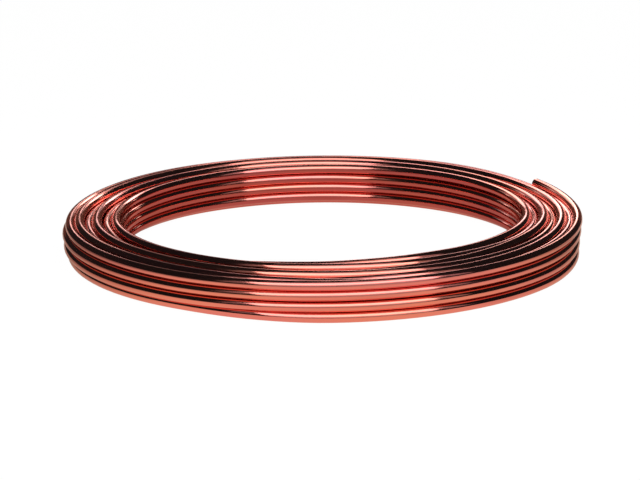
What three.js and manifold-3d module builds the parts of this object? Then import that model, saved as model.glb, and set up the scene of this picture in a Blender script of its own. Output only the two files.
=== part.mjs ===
// A coil of soft copper tube, wound in level layers and lying flat on its side face.
// Millimetres, +Z up. The coil's axis is Z, and the lowest turns rest on z = 0.
import * as THREE from 'three';
import { mergeVertices } from 'three/addons/utils/BufferGeometryUtils.js';
import Module from 'manifold-3d';

// The tube
const TUBE_DIAMETER = 6;
const TUBE_WALL = 1;

// The winding: pairs of columns, one raised by half a tube and one on the floor, nest into each other,
// and one more column stands on the floor outside them
const INNER_RADIUS = 120;
const COLUMN_PAIRS = 3;
const ROWS = 4;

// The last turn, on top of the outermost column. Angles run anticlockwise from +X, seen from above.
// It climbs out of the row below at the back, settles at the left, and lifts off to a free end.
const CLIMB_START_DEG = -300;
const CLIMB_END_DEG = -225;
const SETTLE_START_DEG = -180;
const SETTLE_END_DEG = -120;
const LIFT_START_DEG = -8;
const END_DEG = 32;
const CLIMB_INSET = 1.2;
const CREST_INSET = 2.2;
const CREST_RISE = 2;
const END_LIFT = 4.9;
const END_SPRING_OUT = 1;
const OPEN_BORE_LENGTH = 24;

// How far the last turn sinks into the row below, to be one solid with it
const FUSE_DEPTH = 0.3;

// Facets: each turn is a 12-sided tube whose flats lie on the true circle
const TUBE_FACETS = 12;
const COIL_SEGMENTS = 48;

const tubeRadius = TUBE_DIAMETER / 2;
const nestedPitch = TUBE_DIAMETER * Math.sin(Math.PI / 3);
const nestedColumns = 2 * COLUMN_PAIRS;
const outerColumn = nestedColumns;
const topRow = ROWS - 1;

const isRaised = (column) => column % 2 === 0 && column < nestedColumns;
const rowHeight = (column, row) => TUBE_DIAMETER * (row + (isRaised(column) ? 1 : 0.5));
const radians = THREE.MathUtils.degToRad;

// The outermost column touches its neighbour side by side, and the others nest
function columnRadius(column) {
  const innermost = INNER_RADIUS + tubeRadius;
  if (column < nestedColumns) return innermost + column * nestedPitch;
  return innermost + (nestedColumns - 1) * nestedPitch + TUBE_DIAMETER;
}

// The last turn starts and ends on whole segments, so that its facets line up with the winding's
const segmentDeg = 360 / COIL_SEGMENTS;
const onSegment = (degrees) => segmentDeg * Math.round(degrees / segmentDeg);
const climbStartDeg = onSegment(CLIMB_START_DEG);
const endDeg = onSegment(END_DEG);

// Corners of one turn's section, from one facet corner to another. Corner 0 is the one just above
// the outward direction, and the numbers rise anticlockwise: over the top, then down the inner side.
function turnCorners(column, row, first, last) {
  const facetAngle = (2 * Math.PI) / TUBE_FACETS;
  const cornerRadius = tubeRadius / Math.cos(facetAngle / 2);
  const points = [];
  for (let corner = first; corner <= last; corner += 1) {
    const angle = facetAngle * (corner + 0.5);
    points.push(new THREE.Vector2(
      columnRadius(column) + cornerRadius * Math.cos(angle),
      rowHeight(column, row) + cornerRadius * Math.sin(angle),
    ));
  }
  return points;
}

// Corners are counted in quarters of a section. Two turns that touch share a corner, which is listed
// with one of them.
const quarter = TUBE_FACETS / 4;

// Up the outer wall, short of the last turn, whose place at the top stays open
function outerWall() {
  const points = turnCorners(outerColumn, 0, -2 * quarter, quarter - 1);
  for (let row = 1; row < topRow; row += 1) {
    points.push(...turnCorners(outerColumn, row, -quarter + 1, quarter - 1));
  }
  points.push(...turnCorners(outerColumn, topRow - 1, quarter, quarter));
  return points;
}

// Inwards over the top: raised columns show their heads, and the others only their crowns
function topFace() {
  const points = turnCorners(nestedColumns - 1, topRow, -1, 0);
  for (let column = nestedColumns - 1; column > 0; column -= 1) {
    const corners = isRaised(column) ? [0, 2 * quarter - 1] : [1, 2 * quarter - 2];
    points.push(...turnCorners(column, topRow, ...corners));
  }
  return points;
}

// Down the inner wall, from the innermost head to the innermost foot
function innerWall() {
  const points = turnCorners(0, topRow, 0, 3 * quarter - 1);
  for (let row = topRow - 1; row >= 0; row -= 1) {
    points.push(...turnCorners(0, row, quarter + 1, 3 * quarter - 1));
  }
  points.push(...turnCorners(0, 0, 3 * quarter, 4 * quarter - 2));
  return points;
}

// Outwards along the underside, where the columns on the floor stand proud
function underside() {
  const points = [];
  for (let column = 1; column < nestedColumns; column += 1) {
    const corners = isRaised(column) ? [2 * quarter + 1, 4 * quarter - 2] : [2 * quarter, 4 * quarter - 1];
    points.push(...turnCorners(column, 0, ...corners));
  }
  points.pop();
  return points;
}

// One turned solid with the outline of the nested turns
function woundTurnsGeometry() {
  const outline = [...outerWall(), ...topFace(), ...innerWall(), ...underside()];
  outline.push(outline[0].clone());
  const geometry = new THREE.LatheGeometry(outline, COIL_SEGMENTS);
  geometry.rotateX(Math.PI / 2);
  return geometry;
}

// The centre line of the last turn, by angle round the coil
class LastTurnPath extends THREE.Curve {
  constructor(fromDeg, toDeg) {
    super();
    this.fromDeg = fromDeg;
    this.toDeg = toDeg;
  }

  getPoint(t, target = new THREE.Vector3()) {
    const { lerp, smoothstep } = THREE.MathUtils;
    const degrees = lerp(this.fromDeg, this.toDeg, t);
    const climb = smoothstep(degrees, climbStartDeg, CLIMB_END_DEG);
    const settle = smoothstep(degrees, SETTLE_START_DEG, SETTLE_END_DEG);
    const lift = (Math.max(0, degrees - LIFT_START_DEG) / (endDeg - LIFT_START_DEG)) ** 2;
    const inset = lerp(lerp(CLIMB_INSET, CREST_INSET, climb), 0, settle);
    const rise = TUBE_DIAMETER * climb + CREST_RISE * climb * (1 - settle) + END_LIFT * lift;
    const radius = columnRadius(outerColumn) - inset + END_SPRING_OUT * lift;
    const height = rowHeight(outerColumn, topRow - 1) - FUSE_DEPTH + rise;
    const angle = radians(degrees);
    return target.set(radius * Math.cos(angle), radius * Math.sin(angle), height);
  }

  // Steps are even in angle, not in length
  getUtoTmapping(u) {
    return u;
  }
}

// A round bar swept along part of the last turn
function sweptGeometry(barRadius, fromDeg, toDeg, steps) {
  const cornerRadius = barRadius / Math.cos(Math.PI / TUBE_FACETS);
  const section = new THREE.Shape();
  for (let corner = 0; corner < TUBE_FACETS; corner += 1) {
    const angle = ((corner + 0.5) * 2 * Math.PI) / TUBE_FACETS;
    const draw = corner === 0 ? 'moveTo' : 'lineTo';
    section[draw](cornerRadius * Math.cos(angle), cornerRadius * Math.sin(angle));
  }
  section.closePath();
  const extrudePath = new LastTurnPath(fromDeg, toDeg);
  return new THREE.ExtrudeGeometry(section, { steps, extrudePath });
}

function lastTurnGeometry() {
  const steps = Math.round((endDeg - climbStartDeg) / segmentDeg);
  return sweptGeometry(tubeRadius, climbStartDeg, endDeg, steps);
}

// The bore that shows at the cut end, run out past the end so that it opens cleanly
function endBoreGeometry() {
  const millimetresPerDegree = radians(columnRadius(outerColumn));
  const boreDeg = OPEN_BORE_LENGTH / millimetresPerDegree;
  const overrunDeg = tubeRadius / millimetresPerDegree;
  return sweptGeometry(tubeRadius - TUBE_WALL, endDeg - boreDeg, endDeg + overrunDeg, 6);
}

const wasm = await Module();
wasm.setup();

function toManifold(geometry) {
  const bare = geometry.clone();
  bare.deleteAttribute('normal');
  bare.deleteAttribute('uv');
  const welded = mergeVertices(bare, 1e-4);
  const vertProperties = new Float32Array(welded.attributes.position.array);
  const triVerts = new Uint32Array(welded.index.array);
  return new wasm.Manifold(new wasm.Mesh({ numProp: 3, vertProperties, triVerts }));
}

function toGeometry(manifold) {
  const mesh = manifold.getMesh();
  const geometry = new THREE.BufferGeometry();
  geometry.setAttribute('position', new THREE.BufferAttribute(mesh.vertProperties, 3));
  geometry.setIndex(new THREE.BufferAttribute(mesh.triVerts, 1));
  geometry.computeVertexNormals();
  return geometry;
}

function coilGeometry() {
  const woundTurns = toManifold(woundTurnsGeometry());
  const lastTurn = toManifold(lastTurnGeometry());
  const endBore = toManifold(endBoreGeometry());
  return toGeometry(woundTurns.add(lastTurn).subtract(endBore));
}

const brightCopper = new THREE.MeshStandardMaterial({ color: 0xb5533a, roughness: 0.18, metalness: 1 });
const copperTube = new THREE.Mesh(coilGeometry(), brightCopper);
copperTube.name = 'copper_tube';

const coil = new THREE.Group();
coil.add(copperTube);

export default coil;
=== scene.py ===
import math

import bmesh
import bpy
import numpy as np
from mathutils import Matrix, Vector


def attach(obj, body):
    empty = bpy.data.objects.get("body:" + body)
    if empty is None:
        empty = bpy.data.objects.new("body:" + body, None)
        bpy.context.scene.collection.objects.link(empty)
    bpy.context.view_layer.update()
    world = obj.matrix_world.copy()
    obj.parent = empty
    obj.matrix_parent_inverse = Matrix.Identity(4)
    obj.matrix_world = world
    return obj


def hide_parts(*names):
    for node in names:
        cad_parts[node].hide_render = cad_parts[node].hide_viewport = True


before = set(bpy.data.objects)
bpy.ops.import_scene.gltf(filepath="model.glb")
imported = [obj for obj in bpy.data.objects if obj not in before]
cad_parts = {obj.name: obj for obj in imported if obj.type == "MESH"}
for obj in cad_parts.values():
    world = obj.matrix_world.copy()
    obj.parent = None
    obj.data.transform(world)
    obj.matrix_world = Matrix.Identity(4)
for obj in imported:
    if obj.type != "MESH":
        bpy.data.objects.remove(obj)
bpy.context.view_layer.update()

# Everything is in metres, apart from the tables that say mm. The coil's axis is Z, and the floor is z = 0.
# Places around the coil are in degrees anticlockwise from +X. The front of the coil faces -Y.

MM_PER_METRE = 1000


def add_object(name, data):
    thing = bpy.data.objects.new(name, data)
    bpy.context.collection.objects.link(thing)
    return thing


# ---------------------------------------------------------------- camera

CAMERA_ELEVATION = math.radians(13.9)
CAMERA_DISTANCE = 1.765
CAMERA_ROLL = math.radians(0.45)
FOCAL_LENGTH = 163.1
SENSOR_WIDTH = 36.0
FRAME_WIDTH = 640
FRAME_HEIGHT = 480
AIM_HEIGHT = 0.024
AIM_PIXEL = (322.3, 214.7)


def make_camera():
    """Looks down at the coil from the front, with the aim point at its own place in the frame."""
    data = bpy.data.cameras.new("camera")
    data.lens = FOCAL_LENGTH
    data.sensor_width = SENSOR_WIDTH
    camera = add_object("camera", data)
    away = Vector((0, -math.cos(CAMERA_ELEVATION), math.sin(CAMERA_ELEVATION)))
    place = Vector((0, 0, AIM_HEIGHT)) + CAMERA_DISTANCE * away
    focal_pixels = FOCAL_LENGTH / SENSOR_WIDTH * FRAME_WIDTH
    turn_right = math.atan((AIM_PIXEL[0] - FRAME_WIDTH / 2) / focal_pixels)
    turn_down = math.atan((AIM_PIXEL[1] - FRAME_HEIGHT / 2) / focal_pixels)
    towards = Matrix.Rotation(math.pi / 2 - CAMERA_ELEVATION, 4, "X")
    aside = Matrix.Rotation(turn_right, 4, "Y") @ Matrix.Rotation(turn_down, 4, "X")
    roll = Matrix.Rotation(-CAMERA_ROLL, 4, "Z")
    camera.matrix_world = Matrix.Translation(place) @ towards @ roll @ aside
    bpy.context.scene.camera = camera


# ---------------------------------------------------------------- the winding

TUBE_RADIUS = 0.003
TUBE_WALL = 0.001
BORE_RADIUS = TUBE_RADIUS - TUBE_WALL
BORE_DEPTH = 0.014
INNER_COLUMN_RADIUS = 0.1232
COLUMN_PITCH = 0.0052
COLUMNS = 7
NESTED_COLUMNS = COLUMNS - 1
ROWS = 4

# How finely the tube is made: degrees around the coil from ring to ring, and sides around the tube
RING_DEGREES = 3
TUBE_SIDES = 24

# Each turn lies level, and steps to the next row on a short stretch. In degrees around the coil: the
# middle of the step, its length, the length that rounds off a corner, and the end of the last nested turn.
STEP_AT = -130
STEP_DEGREES = 18
EASING_DEGREES = 15
LAST_NESTED_DEGREES = 171

# A cut end, from the skin inwards: radius of the ring, and its place outwards along the tube. The sawn
# face lies between two small chamfers, and the bore goes in behind it.
OUTER_CHAMFER = 0.00012
INNER_CHAMFER = 0.00010
CHAMFER_DEPTH = 0.00010
CUT_END_RINGS = (
    (TUBE_RADIUS - OUTER_CHAMFER, CHAMFER_DEPTH),
    (BORE_RADIUS + INNER_CHAMFER, CHAMFER_DEPTH),
    (BORE_RADIUS, 0.0),
    (BORE_RADIUS, -BORE_DEPTH),
)


def is_raised(column):
    return column % 2 == 0


def column_radius(column):
    return INNER_COLUMN_RADIUS + column * COLUMN_PITCH


def row_height(column, row):
    """The height of a tube's centre. A raised column stands half a tube above the floor."""
    return 2 * TUBE_RADIUS * (row + (1.0 if is_raised(column) else 0.5))


# The top turn of each nested column, from the inside out: degrees, radius and height in mm. A turn that
# climbs ends by crossing over the next column, where the tube then sinks into the groove.
TOP_TURNS = (
    ((-130, 122.0, 18.6), (-111, 121.0, 22.3), (-100, 121.0, 23.2), (-89, 121.0, 23.6), (-79, 121.2, 24.3),
     (-66, 122.0, 24.7), (-58, 122.5, 25.0), (-50, 123.0, 24.75), (-30, 123.4, 24.7), (0, 123.8, 24.5),
     (45, 123.2, 24.9), (90, 123.2, 24.2), (150, 124.0, 23.9), (180, 124.9, 23.9), (200, 125.7, 24.0),
     (230, 126.2, 24.0)),
    ((-124, 126.5, 24.0), (-105, 127.4, 24.0), (-84, 127.5, 24.0), (-70, 128.4, 23.8), (-55, 128.4, 23.6),
     (-44, 128.4, 23.1), (-30, 128.4, 22.2), (0, 128.6, 21.3), (30, 128.4, 21.3), (60, 128.4, 21.9),
     (120, 128.4, 21.9), (150, 129.2, 21.3), (180, 130.7, 21.0), (215, 130.0, 19.5), (230, 129.3, 18.0)),
    ((-130, 133.6, 18.3), (-100, 133.6, 20.3), (-85, 133.6, 21.4), (-69, 133.6, 22.2), (-60, 133.6, 22.9),
     (-47, 133.6, 23.2), (-39, 133.8, 23.7), (-29, 134.0, 24.3), (0, 134.3, 24.5), (30, 133.8, 24.3),
     (60, 133.6, 25.0), (120, 133.6, 25.0), (150, 134.6, 24.6), (180, 136.6, 24.2), (196, 137.5, 24.0),
     (230, 138.2, 23.75)),
    ((-122, 138.4, 23.4), (-107, 138.8, 23.2), (-95, 138.8, 22.9), (-66, 138.8, 22.4), (-50, 138.8, 21.8),
     (-27, 139.0, 21.2), (0, 139.5, 21.0), (30, 138.8, 21.0), (90, 138.8, 21.3), (150, 139.8, 21.0),
     (180, 141.9, 21.0), (215, 141.2, 19.5), (230, 140.4, 18.0)),
    ((-130, 144.0, 18.3), (-100, 144.0, 19.8), (-85, 144.0, 20.5), (-75, 144.0, 21.0), (-55, 144.0, 21.2),
     (-37, 144.5, 21.8), (-18, 144.9, 22.6), (5, 145.0, 23.9), (30, 144.4, 24.0), (60, 144.0, 25.1),
     (120, 144.0, 25.1), (150, 145.2, 24.6), (180, 147.3, 24.0), (203, 147.8, 24.0), (219, 148.4, 23.9),
     (230, 148.8, 23.4)),
    ((-120, 149.0, 22.9), (-107, 149.2, 22.2), (-95, 149.2, 21.6), (-75, 149.2, 19.8), (-50, 149.2, 19.5),
     (-20, 149.6, 20.5), (0, 150.3, 21.0), (30, 149.4, 21.0), (120, 149.2, 21.2), (150, 149.6, 20.2),
     (180, 150.3, 18.8), (215, 150.1, 17.4), (230, 149.8, 16.5)),
)

# The bottom turns of the low columns leave the floor a little at the back: degrees and lift in mm
BOTTOM_BOW = ((20, 0), (45, 0.5), (135, 0.5), (160, 0))

# The outer column's turns, from the floor up: degrees, radius and height in mm. The last one climbs out
# of the row below at the back left and lifts off to the free end.
OUTER_TURNS = (
    ((180, 152.0, 4.4), (240, 152.0, 4.2), (268, 155.0, 3.0), (330, 154.9, 3.0), (355, 153.0, 3.6),
     (370, 153.0, 4.2)),
    ((30, 154.6, 10.0), (60, 154.6, 11.0), (150, 154.4, 10.6), (180, 154.2, 10.0), (240, 154.9, 9.2),
     (330, 154.8, 9.0), (355, 153.4, 10.1), (370, 153.6, 10.6)),
    ((45, 154.6, 16.6), (60, 154.6, 17.2), (150, 154.8, 17.2), (180, 154.9, 17.0), (240, 155.0, 15.3),
     (330, 154.8, 15.8), (355, 154.2, 17.2), (370, 154.2, 17.8)),
    ((48, 154.2, 22.4), (60, 154.0, 23.1), (130, 153.4, 23.2), (150, 152.0, 23.3), (180, 152.8, 22.5),
     (240, 154.7, 21.4), (270, 155.0, 21.4), (300, 155.0, 21.7), (330, 155.0, 22.2), (350, 154.8, 23.1),
     (372, 154.9, 23.9), (391, 155.0, 25.1)),
)


def turn_knots(turn, table):
    """The knots of one turn from its table, counted on from the turns before it."""
    return [(360 * turn + degrees, radius / MM_PER_METRE, height / MM_PER_METRE)
            for degrees, radius, height in table]


def nested_turns():
    """The knots of the six nested columns: angle, radius and height along the tube."""
    knots = []
    for turn in range(ROWS * NESTED_COLUMNS):
        column, place = divmod(turn, ROWS)
        row = place if is_raised(column) else ROWS - 1 - place
        if row == ROWS - 1:
            knots += turn_knots(turn, TOP_TURNS[column])
            continue
        radius, height = column_radius(column), row_height(column, row)
        knots.append((360 * turn + STEP_AT + STEP_DEGREES / 2, radius, height))
        if row == 0 and not is_raised(column):
            knots += [(360 * turn + degrees, radius, height + lift / MM_PER_METRE)
                      for degrees, lift in BOTTOM_BOW]
        knots.append((360 * turn + STEP_AT + 360 - STEP_DEGREES / 2, radius, height))
    knots[-1] = (360 * (ROWS * NESTED_COLUMNS - 1) + LAST_NESTED_DEGREES, *knots[-1][1:])
    return knots


def outer_turns():
    """The knots of the outer column, in the same way. Its first turn starts on the last nested one."""
    first = ROWS * NESTED_COLUMNS - 1
    return [knot for number, table in enumerate(OUTER_TURNS) for knot in turn_knots(first + number, table)]


def eased(values):
    """Rounds off the corners between knots."""
    window = np.hanning(EASING_DEGREES // RING_DEGREES + 2)
    window /= window.sum()
    reach = len(window) // 2
    return np.convolve(np.pad(values, (reach, len(window) - 1 - reach), "edge"), window, "valid")


def centre_line():
    """The points of the tube's centre line, from the inner end to the free end."""
    knots = np.array(nested_turns() + outer_turns())
    degrees = np.arange(knots[0, 0], knots[-1, 0] + 0.5, RING_DEGREES)
    radius = eased(np.interp(degrees, knots[:, 0], knots[:, 1]))
    height = eased(np.interp(degrees, knots[:, 0], knots[:, 2]))
    angle = np.radians(degrees)
    return np.stack([radius * np.cos(angle), radius * np.sin(angle), height], 1)


def swept_skin(points):
    """The tube's outer skin, open at both ends. Its UV map runs along the tube and around it."""
    data = bpy.data.curves.new("copper_winding", "CURVE")
    data.dimensions = "3D"
    data.twist_mode = "Z_UP"
    data.bevel_depth = TUBE_RADIUS
    data.bevel_resolution = TUBE_SIDES // 2 - 2
    spline = data.splines.new("POLY")
    spline.points.add(len(points) - 1)
    for point, place in zip(spline.points, points):
        point.co = (*place, 1)
    curve = add_object("copper_winding", data)
    evaluated = curve.evaluated_get(bpy.context.evaluated_depsgraph_get())
    mesh = bpy.data.meshes.new_from_object(evaluated)
    bpy.data.objects.remove(curve)
    bpy.data.curves.remove(data)
    return mesh


def add_cut_end(bm, edges, centre, outward):
    """Turns an open end into the sawn ring of the wall, with the bore behind it."""
    spokes = {vert: vert.co - centre for edge in edges for vert in edge.verts}
    for edge in edges:
        edge.smooth = False
    for radius, along in CUT_END_RINGS:
        extruded = bmesh.ops.extrude_edge_only(bm, edges=edges)["geom"]
        faces = [part for part in extruded if isinstance(part, bmesh.types.BMFace)]
        verts = {part for part in extruded if isinstance(part, bmesh.types.BMVert)}
        moved = {}
        for face in faces:
            face.smooth = False
            for edge in face.edges:
                new = [vert for vert in edge.verts if vert in verts]
                if len(new) == 1:
                    moved[new[0]] = spokes[edge.other_vert(new[0])]
        for vert, spoke in moved.items():
            vert.co = centre + spoke * (radius / TUBE_RADIUS) + outward * along
        spokes = moved
        edges = [part for part in extruded if isinstance(part, bmesh.types.BMEdge)
                 and all(vert in verts for vert in part.verts)]
    bmesh.ops.contextual_create(bm, geom=edges)


def face_order(face):
    """A number of each face's own, from the numbers of its corners."""
    corners = [vert.index for vert in face.verts]
    return max(corners) * 2 ** 20 + min(corners)


def make_tube(points):
    """The whole tube as one closed mesh, with a cut end at each end of the centre line."""
    mesh = swept_skin(points)
    bm = bmesh.new()
    bm.from_mesh(mesh)
    open_edges = [edge for edge in bm.edges if edge.is_boundary]
    for end, neighbour in ((points[0], points[1]), (points[-1], points[-2])):
        centre = Vector(end)
        rim = [edge for edge in open_edges if (edge.verts[0].co - centre).length < 2 * TUBE_RADIUS]
        add_cut_end(bm, rim, centre, (centre - Vector(neighbour)).normalized())
    bmesh.ops.recalc_face_normals(bm, faces=bm.faces)
    # Extruded faces come in any order, so they are put in the same one each time
    bm.verts.index_update()
    bm.faces.sort(key=face_order)
    bm.to_mesh(mesh)
    bm.free()
    return mesh


points = centre_line()
tube_length = float(np.linalg.norm(np.diff(points, axis=0), axis=1).sum())
tube = add_object("copper_winding", make_tube(points))

make_camera()

# ---------------------------------------------------------------- finish

ROSY_COPPER = (0.86, 0.275, 0.200, 1)
MAUVE_COPPER = (0.81, 0.235, 0.215, 1)
TARNISH_BROWN = (0.56, 0.125, 0.080, 1)
TARNISH_STRENGTH = 0.30
COPPER_EDGE_TINT = (1.0, 0.85, 0.80, 1)
OIL_FILM_WEIGHT = 0.3
OIL_FILM_ROUGHNESS = 0.06

# How dull the bright copper is: as drawn, and what smudges and rubs add
DRAWN_ROUGHNESS = 0.085
SMUDGE_ROUGHNESS = 0.09
RUB_ROUGHNESS = 0.07
RIPPLE_HEIGHT = 0.00008
DIE_LINE_HEIGHT = 0.000012

# How the marks of the die and of the rolls are stretched, along the tube and around it
DIE_LINE_SCALES = (0.004, 1.0)
RIPPLE_SCALES = (0.07, 0.12)


def link_all(links, pairs):
    for source, target in pairs:
        links.new(source, target)


def math_node(nodes, operation, value=None):
    """A maths node, with its second number set where it has one."""
    node = nodes.new("ShaderNodeMath")
    node.operation = operation
    if value is not None:
        node.inputs[1].default_value = value
    return node


def noise_node(nodes, scale, detail, roughness=0.5):
    node = nodes.new("ShaderNodeTexNoise")
    node.inputs["Scale"].default_value = scale
    node.inputs["Detail"].default_value = detail
    node.inputs["Roughness"].default_value = roughness
    return node


def range_node(nodes, low, high, to_low=0.0, to_high=1.0):
    node = nodes.new("ShaderNodeMapRange")
    for name, value in (("From Min", low), ("From Max", high), ("To Min", to_low), ("To Max", to_high)):
        node.inputs[name].default_value = value
    return node


def bump_node(nodes, height):
    node = nodes.new("ShaderNodeBump")
    node.inputs["Distance"].default_value = height
    node.inputs["Strength"].default_value = 1
    return node


def tube_place(nodes, links, along_scale, around_scale):
    """A place on the unrolled tube that closes on itself around the tube. One unit is a millimetre."""
    uv = nodes.new("ShaderNodeUVMap")
    uv.uv_map = "UVMap"
    parts = nodes.new("ShaderNodeSeparateXYZ")
    links.new(uv.outputs[0], parts.inputs[0])
    along = math_node(nodes, "MULTIPLY", MM_PER_METRE * tube_length * along_scale)
    turn = math_node(nodes, "MULTIPLY", math.tau)
    place = nodes.new("ShaderNodeCombineXYZ")
    link_all(links, ((parts.outputs["X"], along.inputs[0]), (parts.outputs["Y"], turn.inputs[0]),
                     (along.outputs[0], place.inputs["X"])))
    for operation, axis in (("COSINE", "Y"), ("SINE", "Z")):
        wave = math_node(nodes, operation)
        size = math_node(nodes, "MULTIPLY", MM_PER_METRE * TUBE_RADIUS * around_scale)
        link_all(links, ((turn.outputs[0], wave.inputs[0]), (wave.outputs[0], size.inputs[0]),
                         (size.outputs[0], place.inputs[axis])))
    return place.outputs[0]


def new_group(name, outputs):
    """A node group that puts out numbers, with its output node."""
    group = bpy.data.node_groups.new(name, "ShaderNodeTree")
    for output in outputs:
        group.interface.new_socket(output, in_out="OUTPUT", socket_type="NodeSocketFloat")
    end = group.nodes.new("NodeGroupOutput")
    return group, end


def drawn_surface_group():
    """Marks of the drawing die and of the bending rolls, as heights from 0 to 1."""
    group, end = new_group("drawn_surface", ("Die Lines", "Ripple"))
    nodes, links = group.nodes, group.links
    lines = noise_node(nodes, 3.0, 3, 0.6)
    ripple = noise_node(nodes, 1.0, 1)
    link_all(links, ((tube_place(nodes, links, *DIE_LINE_SCALES), lines.inputs["Vector"]),
                     (tube_place(nodes, links, *RIPPLE_SCALES), ripple.inputs["Vector"]),
                     (lines.outputs["Fac"], end.inputs["Die Lines"]),
                     (ripple.outputs["Fac"], end.inputs["Ripple"])))
    return group


# The marks on the skin: name, scales along and around the tube, scale and detail of the noise, and the
# levels of the noise where a mark starts and where it is full
TARNISH_MARKS = (
    ("Rose", (0.010, 0.10), 1.0, 2, 0.35, 0.65),
    ("Brown", (0.016, 0.16), 1.0, 4, 0.54, 0.72),
    ("Smudge", (0.030, 0.22), 1.0, 4, 0.45, 0.70),
    ("Rub", (0.012, 0.90), 1.6, 2, 0.60, 0.74),
)


def tarnish_group():
    """Where the bright copper has gone rosy or brown, and where hands and other turns have dulled it."""
    group, end = new_group("tarnish", [mark[0] for mark in TARNISH_MARKS])
    nodes, links = group.nodes, group.links
    for name, place, scale, detail, none, full in TARNISH_MARKS:
        noise = noise_node(nodes, scale, detail)
        level = range_node(nodes, none, full)
        link_all(links, ((tube_place(nodes, links, *place), noise.inputs["Vector"]),
                         (noise.outputs["Fac"], level.inputs["Value"]),
                         (level.outputs["Result"], end.inputs[name])))
    return group


def use_group(nodes, group):
    node = nodes.new("ShaderNodeGroup")
    node.node_tree = group
    return node


def tint(nodes, links, share, below, above, strength=1.0):
    """Lays a colour over another by a mask, up to a strength. The lower one may be a colour or a socket."""
    amount = math_node(nodes, "MULTIPLY", strength)
    mix = nodes.new("ShaderNodeMix")
    mix.data_type = "RGBA"
    links.new(share, amount.inputs[0])
    links.new(amount.outputs[0], mix.inputs["Factor"])
    if isinstance(below, tuple):
        mix.inputs["A"].default_value = below
    else:
        links.new(below, mix.inputs["A"])
    mix.inputs["B"].default_value = above
    return mix.outputs["Result"]


def make_bright_copper(drawn_surface, tarnish):
    """The drawn skin: mirror-bright metal under a thin film of oil, with its tarnish and marks."""
    material = bpy.data.materials.new("bright_copper")
    material.use_nodes = True
    nodes, links = material.node_tree.nodes, material.node_tree.links
    shader = nodes["Principled BSDF"]
    shader.inputs["Metallic"].default_value = 1
    shader.inputs["Specular Tint"].default_value = COPPER_EDGE_TINT
    shader.inputs["Coat Weight"].default_value = OIL_FILM_WEIGHT
    shader.inputs["Coat Roughness"].default_value = OIL_FILM_ROUGHNESS
    skin = use_group(nodes, drawn_surface)
    wear = use_group(nodes, tarnish)
    colour = tint(nodes, links, wear.outputs["Rose"], ROSY_COPPER, MAUVE_COPPER)
    colour = tint(nodes, links, wear.outputs["Brown"], colour, TARNISH_BROWN, TARNISH_STRENGTH)
    links.new(colour, shader.inputs["Base Color"])
    dull = math_node(nodes, "MULTIPLY_ADD", SMUDGE_ROUGHNESS)
    dull.inputs[2].default_value = DRAWN_ROUGHNESS
    rubbed = math_node(nodes, "MULTIPLY", RUB_ROUGHNESS)
    roughness = math_node(nodes, "ADD")
    link_all(links, ((wear.outputs["Smudge"], dull.inputs[0]), (wear.outputs["Rub"], rubbed.inputs[0]),
                     (dull.outputs[0], roughness.inputs[0]), (rubbed.outputs[0], roughness.inputs[1]),
                     (roughness.outputs[0], shader.inputs["Roughness"])))
    ripple = bump_node(nodes, RIPPLE_HEIGHT)
    lines = bump_node(nodes, DIE_LINE_HEIGHT)
    link_all(links, ((skin.outputs["Ripple"], ripple.inputs["Height"]),
                     (skin.outputs["Die Lines"], lines.inputs["Height"]),
                     (ripple.outputs["Normal"], lines.inputs["Normal"]),
                     (lines.outputs["Normal"], shader.inputs["Normal"])))
    return material


tube.data.materials.append(make_bright_copper(drawn_surface_group(), tarnish_group()))

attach(tube, "root")
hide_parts("copper_tube")

# ---------------------------------------------------------------- stage

ROOM_RADIUS = 5.0
ROOM_HEIGHT = 5.0
ROOM_SIDES = 32
FLOOR_SIDES = 64
UP = Vector((0, 0, 1))


def direction(azimuth, elevation):
    """A unit vector from the coil, by its degrees around the coil and above the floor."""
    azimuth, elevation = math.radians(azimuth), math.radians(elevation)
    return Vector((math.cos(azimuth) * math.cos(elevation), math.sin(azimuth) * math.cos(elevation),
                   math.sin(elevation)))


def soft_light(name, place, facing, width, length, strength, colour=(1, 1, 1), beam=180):
    """A rectangular lamp. At a strength of 1 it is as bright as white paper, seen along its axis.

    The beam, in degrees, is how widely it throws its light.
    """
    half_beam = math.radians(beam) / 2
    narrowing = 1 - half_beam / math.tan(half_beam)
    lamp = bpy.data.lights.new(name, "AREA")
    lamp.shape = "RECTANGLE"
    lamp.size, lamp.size_y = width, length
    lamp.color = colour
    lamp.spread = 2 * half_beam
    lamp.energy = strength * narrowing * math.pi * width * length
    light = add_object(name, lamp)
    light.visible_camera = False
    light.location = place
    light.rotation_euler = facing.to_track_quat("-Z", "Y").to_euler()


def leaning_light(name, azimuth, distance, height, lean, width, length, strength):
    """A lamp that stands on one side of the coil and leans over it, by its lean in degrees."""
    soft_light(name, distance * direction(azimuth, 0) + height * UP, -direction(azimuth, lean),
               width, length, strength)


def background_rays(nodes, links):
    """1 on the rays that see the background, directly or through a reflection, and 0 on the others."""
    path = nodes.new("ShaderNodeLightPath")
    seen = path.outputs["Is Camera Ray"]
    for name in ("Is Glossy Ray", "Is Transmission Ray"):
        either = math_node(nodes, "MAXIMUM")
        link_all(links, ((seen, either.inputs[0]), (path.outputs[name], either.inputs[1])))
        seen = either.outputs[0]
    return seen


# The paper of the floor: how much of it is glow, and how bright the glow is to the eye
FLOOR_GLOW = 0.96
PAPER_WHITE = 1.03
PAPER_COLOUR = (0.9, 0.9, 0.9, 1)

# How bright the paper is in reflections, by its distance from the coil's axis: painted shade with a painted
# copper-red bounce inside the ring, painted light brightest near the coil, and dimmer further out
PAPER_REACH = 0.5
PAINTED_PAPER_SHADING = (
    (0.000, (0.52, 0.34, 0.31)),
    (0.118, (0.55, 0.30, 0.27)),
    (0.140, (0.93, 0.77, 0.62)),
    (0.200, (0.88, 0.74, 0.60)),
    (0.250, (0.68, 0.60, 0.51)),
    (0.500, (0.60, 0.57, 0.53)),
)
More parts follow.
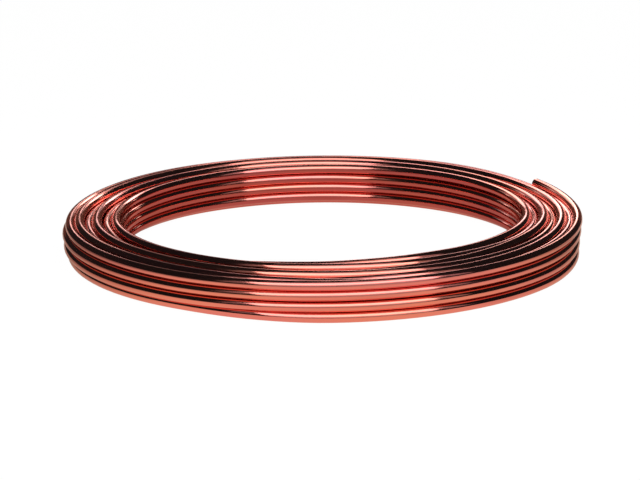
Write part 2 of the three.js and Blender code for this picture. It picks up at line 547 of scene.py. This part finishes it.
# Painted shade makes it dimmer level with the axis, to the left and behind: where it changes, and its
# brightness there
SIDE_SHADE = ((0, 0.14), (0.5, 1))
LEFT_SHADE = ((-0.25, -0.10), (0.55, 1))
BACK_SHADE = ((0.16, 0.24), (1, 0.15))


def painted_paper_tint(nodes, links, distance):
    """The colour of the paper in reflections, by distance from the axis: painted light and shade, with a
    painted copper-red bounce inside the ring.
    """
    reach = math_node(nodes, "DIVIDE", PAPER_REACH)
    ramp = nodes.new("ShaderNodeValToRGB")
    stops = ramp.color_ramp.elements
    while len(stops) < len(PAINTED_PAPER_SHADING):
        stops.new(1)
    for stop, (radius, colour) in zip(stops, PAINTED_PAPER_SHADING):
        stop.position = radius / PAPER_REACH
        stop.color = (*colour, 1)
    link_all(links, ((distance, reach.inputs[0]), (reach.outputs[0], ramp.inputs["Fac"])))
    return ramp.outputs["Color"]


def painted_paper_shade(nodes, links, place):
    """How far painted shade dims the paper in reflections, by its place: the product of the three shades.
    """
    parts = nodes.new("ShaderNodeSeparateXYZ")
    beside = math_node(nodes, "ABSOLUTE")
    link_all(links, ((place, parts.inputs[0]), (parts.outputs["Y"], beside.inputs[0])))
    shades = []
    for value, (ends, levels) in ((beside.outputs[0], SIDE_SHADE), (parts.outputs["X"], LEFT_SHADE),
                                  (parts.outputs["Y"], BACK_SHADE)):
        shade = range_node(nodes, *ends, *levels)
        links.new(value, shade.inputs["Value"])
        shades.append(shade.outputs["Result"])
    product = shades[0]
    for shade in shades[1:]:
        both = math_node(nodes, "MULTIPLY")
        link_all(links, ((product, both.inputs[0]), (shade, both.inputs[1])))
        product = both.outputs[0]
    return product


def paper_glow_and_painted_shade(nodes, links):
    """White to the eye. Reflections see the paper with painted light and shade: brightest near the coil,
    and shaded and tinted copper-red inside the ring by a painted bounce.
    """
    place = nodes.new("ShaderNodeTexCoord")
    distance = nodes.new("ShaderNodeVectorMath")
    distance.operation = "LENGTH"
    links.new(place.outputs["Object"], distance.inputs[0])
    shaded = nodes.new("ShaderNodeMix")
    shaded.data_type = "RGBA"
    shaded.blend_type = "MULTIPLY"
    shaded.inputs["Factor"].default_value = 1
    path = nodes.new("ShaderNodeLightPath")
    seen = nodes.new("ShaderNodeMix")
    seen.data_type = "RGBA"
    seen.inputs["B"].default_value = (PAPER_WHITE, PAPER_WHITE, PAPER_WHITE, 1)
    link_all(links, ((painted_paper_tint(nodes, links, distance.outputs["Value"]), shaded.inputs["A"]),
                     (painted_paper_shade(nodes, links, place.outputs["Object"]), shaded.inputs["B"]),
                     (path.outputs["Is Camera Ray"], seen.inputs["Factor"]),
                     (shaded.outputs["Result"], seen.inputs["A"])))
    return seen.outputs["Result"]


def make_floor():
    """White paper, which glows to the eye so that it stays white, and keeps a faint shadow."""
    data = bpy.data.meshes.new("floor")
    bm = bmesh.new()
    bmesh.ops.create_circle(bm, cap_ends=True, radius=ROOM_RADIUS, segments=FLOOR_SIDES)
    bm.to_mesh(data)
    bm.free()
    material = bpy.data.materials.new("white_floor")
    material.use_nodes = True
    nodes, links = material.node_tree.nodes, material.node_tree.links
    nodes.clear()
    paper = nodes.new("ShaderNodeBsdfDiffuse")
    paper.inputs["Color"].default_value = PAPER_COLOUR
    glow = nodes.new("ShaderNodeEmission")
    share = math_node(nodes, "MULTIPLY", FLOOR_GLOW)
    mix = nodes.new("ShaderNodeMixShader")
    output = nodes.new("ShaderNodeOutputMaterial")
    link_all(links, ((paper_glow_and_painted_shade(nodes, links), glow.inputs["Color"]),
                     (background_rays(nodes, links), share.inputs[0]),
                     (share.outputs[0], mix.inputs[0]),
                     (paper.outputs[0], mix.inputs[1]),
                     (glow.outputs[0], mix.inputs[2]),
                     (mix.outputs[0], output.inputs["Surface"])))
    data.materials.append(material)
    add_object("floor", data)


CLOTH_COLOUR = (0.10, 0.085, 0.08, 1)
# The cloth glows faintly though it is no lamp: painted light that lifts its dark reflections.
CLOTH_PAINTED_GLOW = (0.008, 0.013, 0.015, 1)


def make_dark_room():
    """Black cloth around and above, so that the metal has dark reflections. It isn't seen directly."""
    data = bpy.data.meshes.new("dark_room")
    bm = bmesh.new()
    bmesh.ops.create_cone(bm, cap_ends=False, radius1=ROOM_RADIUS, radius2=ROOM_RADIUS, depth=ROOM_HEIGHT,
                          segments=ROOM_SIDES, matrix=Matrix.Translation(ROOM_HEIGHT / 2 * UP))
    bmesh.ops.create_circle(bm, cap_ends=True, radius=ROOM_RADIUS, segments=ROOM_SIDES,
                            matrix=Matrix.Translation(ROOM_HEIGHT * UP))
    bmesh.ops.remove_doubles(bm, verts=bm.verts, dist=0.001)
    bm.to_mesh(data)
    bm.free()
    material = bpy.data.materials.new("black_cloth")
    material.use_nodes = True
    cloth = material.node_tree.nodes["Principled BSDF"]
    cloth.inputs["Base Color"].default_value = CLOTH_COLOUR
    cloth.inputs["Roughness"].default_value = 1
    cloth.inputs["Specular IOR Level"].default_value = 0
    cloth.inputs["Emission Color"].default_value = CLOTH_PAINTED_GLOW
    cloth.inputs["Emission Strength"].default_value = 1
    data.materials.append(material)
    room = add_object("dark_room", data)
    room.visible_camera = False


def make_world():
    """White to the eye and in reflections, and dark to all other rays."""
    world = bpy.data.worlds.new("studio")
    world.use_nodes = True
    nodes, links = world.node_tree.nodes, world.node_tree.links
    links.new(background_rays(nodes, links), nodes["Background"].inputs["Color"])
    bpy.context.scene.world = world


# Lamps that lean over the coil: degrees around it, distance, height, lean, width, length and strength.
# The fades carry the front softbox on, dimmer, past its two sides.
LEANING_LIGHTS = (
    ("front_softbox", -79.5, 0.97, 1.20, 25, 1.97, 1.2, 2.35),
    ("front_fill", -79.5, 1.33, 0.43, 25, 1.97, 0.66, 0.7),
    ("right_fade", -29.4, 1.512, 1.20, 25, 0.36, 1.2, 0.35),
    ("left_fade", -129.6, 1.511, 1.20, 25, 0.36, 1.2, 0.2),
    ("ceiling_softbox", -60, 0.38, 2.1, 80, 1.4, 0.9, 0.55),
)

# Small strips close behind the coil: place, facing, width, length, strength and beam
BACK_STRIPS = (
    ("back_right_strip", (0.115, 0.38, 0.162), (0.035, -0.38, -0.13), 0.23, 0.068, 3.0, 44),
    ("back_left_strip", (-0.115, 0.38, 0.175), (0.03, -0.38, -0.13), 0.24, 0.10, 0.4, 180),
    ("left_end_strip", (-0.01, 0.38, 0.190), (-0.11, -0.33, -0.16), 0.14, 0.05, 4.8, 56),
    ("right_end_strip", (0.062, 0.38, 0.215), (0.11, -0.30, -0.19), 0.10, 0.05, 2.6, 50),
    ("left_end_line", (-0.172, 0.38, 0.140), (0.03, -0.40, -0.11), 0.06, 0.022, 2.0, 180),
    ("right_end_line", (0.170, 0.38, 0.137), (-0.03, -0.40, -0.11), 0.055, 0.025, 2.2, 180),
)
GLOW_COLOUR = (1.0, 0.40, 0.22)

make_floor()
make_dark_room()
make_world()
for lamp in LEANING_LIGHTS:
    leaning_light(*lamp)
for name, place, facing, width, length, strength, beam in BACK_STRIPS:
    soft_light(name, Vector(place), Vector(facing), width, length, strength, beam=beam)
soft_light("back_glow", Vector((0, 0.75, 0.1)), Vector((0, -1, 0)), 1.0, 0.2, 0.09, GLOW_COLOUR)

bpy.context.scene.view_settings.view_transform = "Standard"
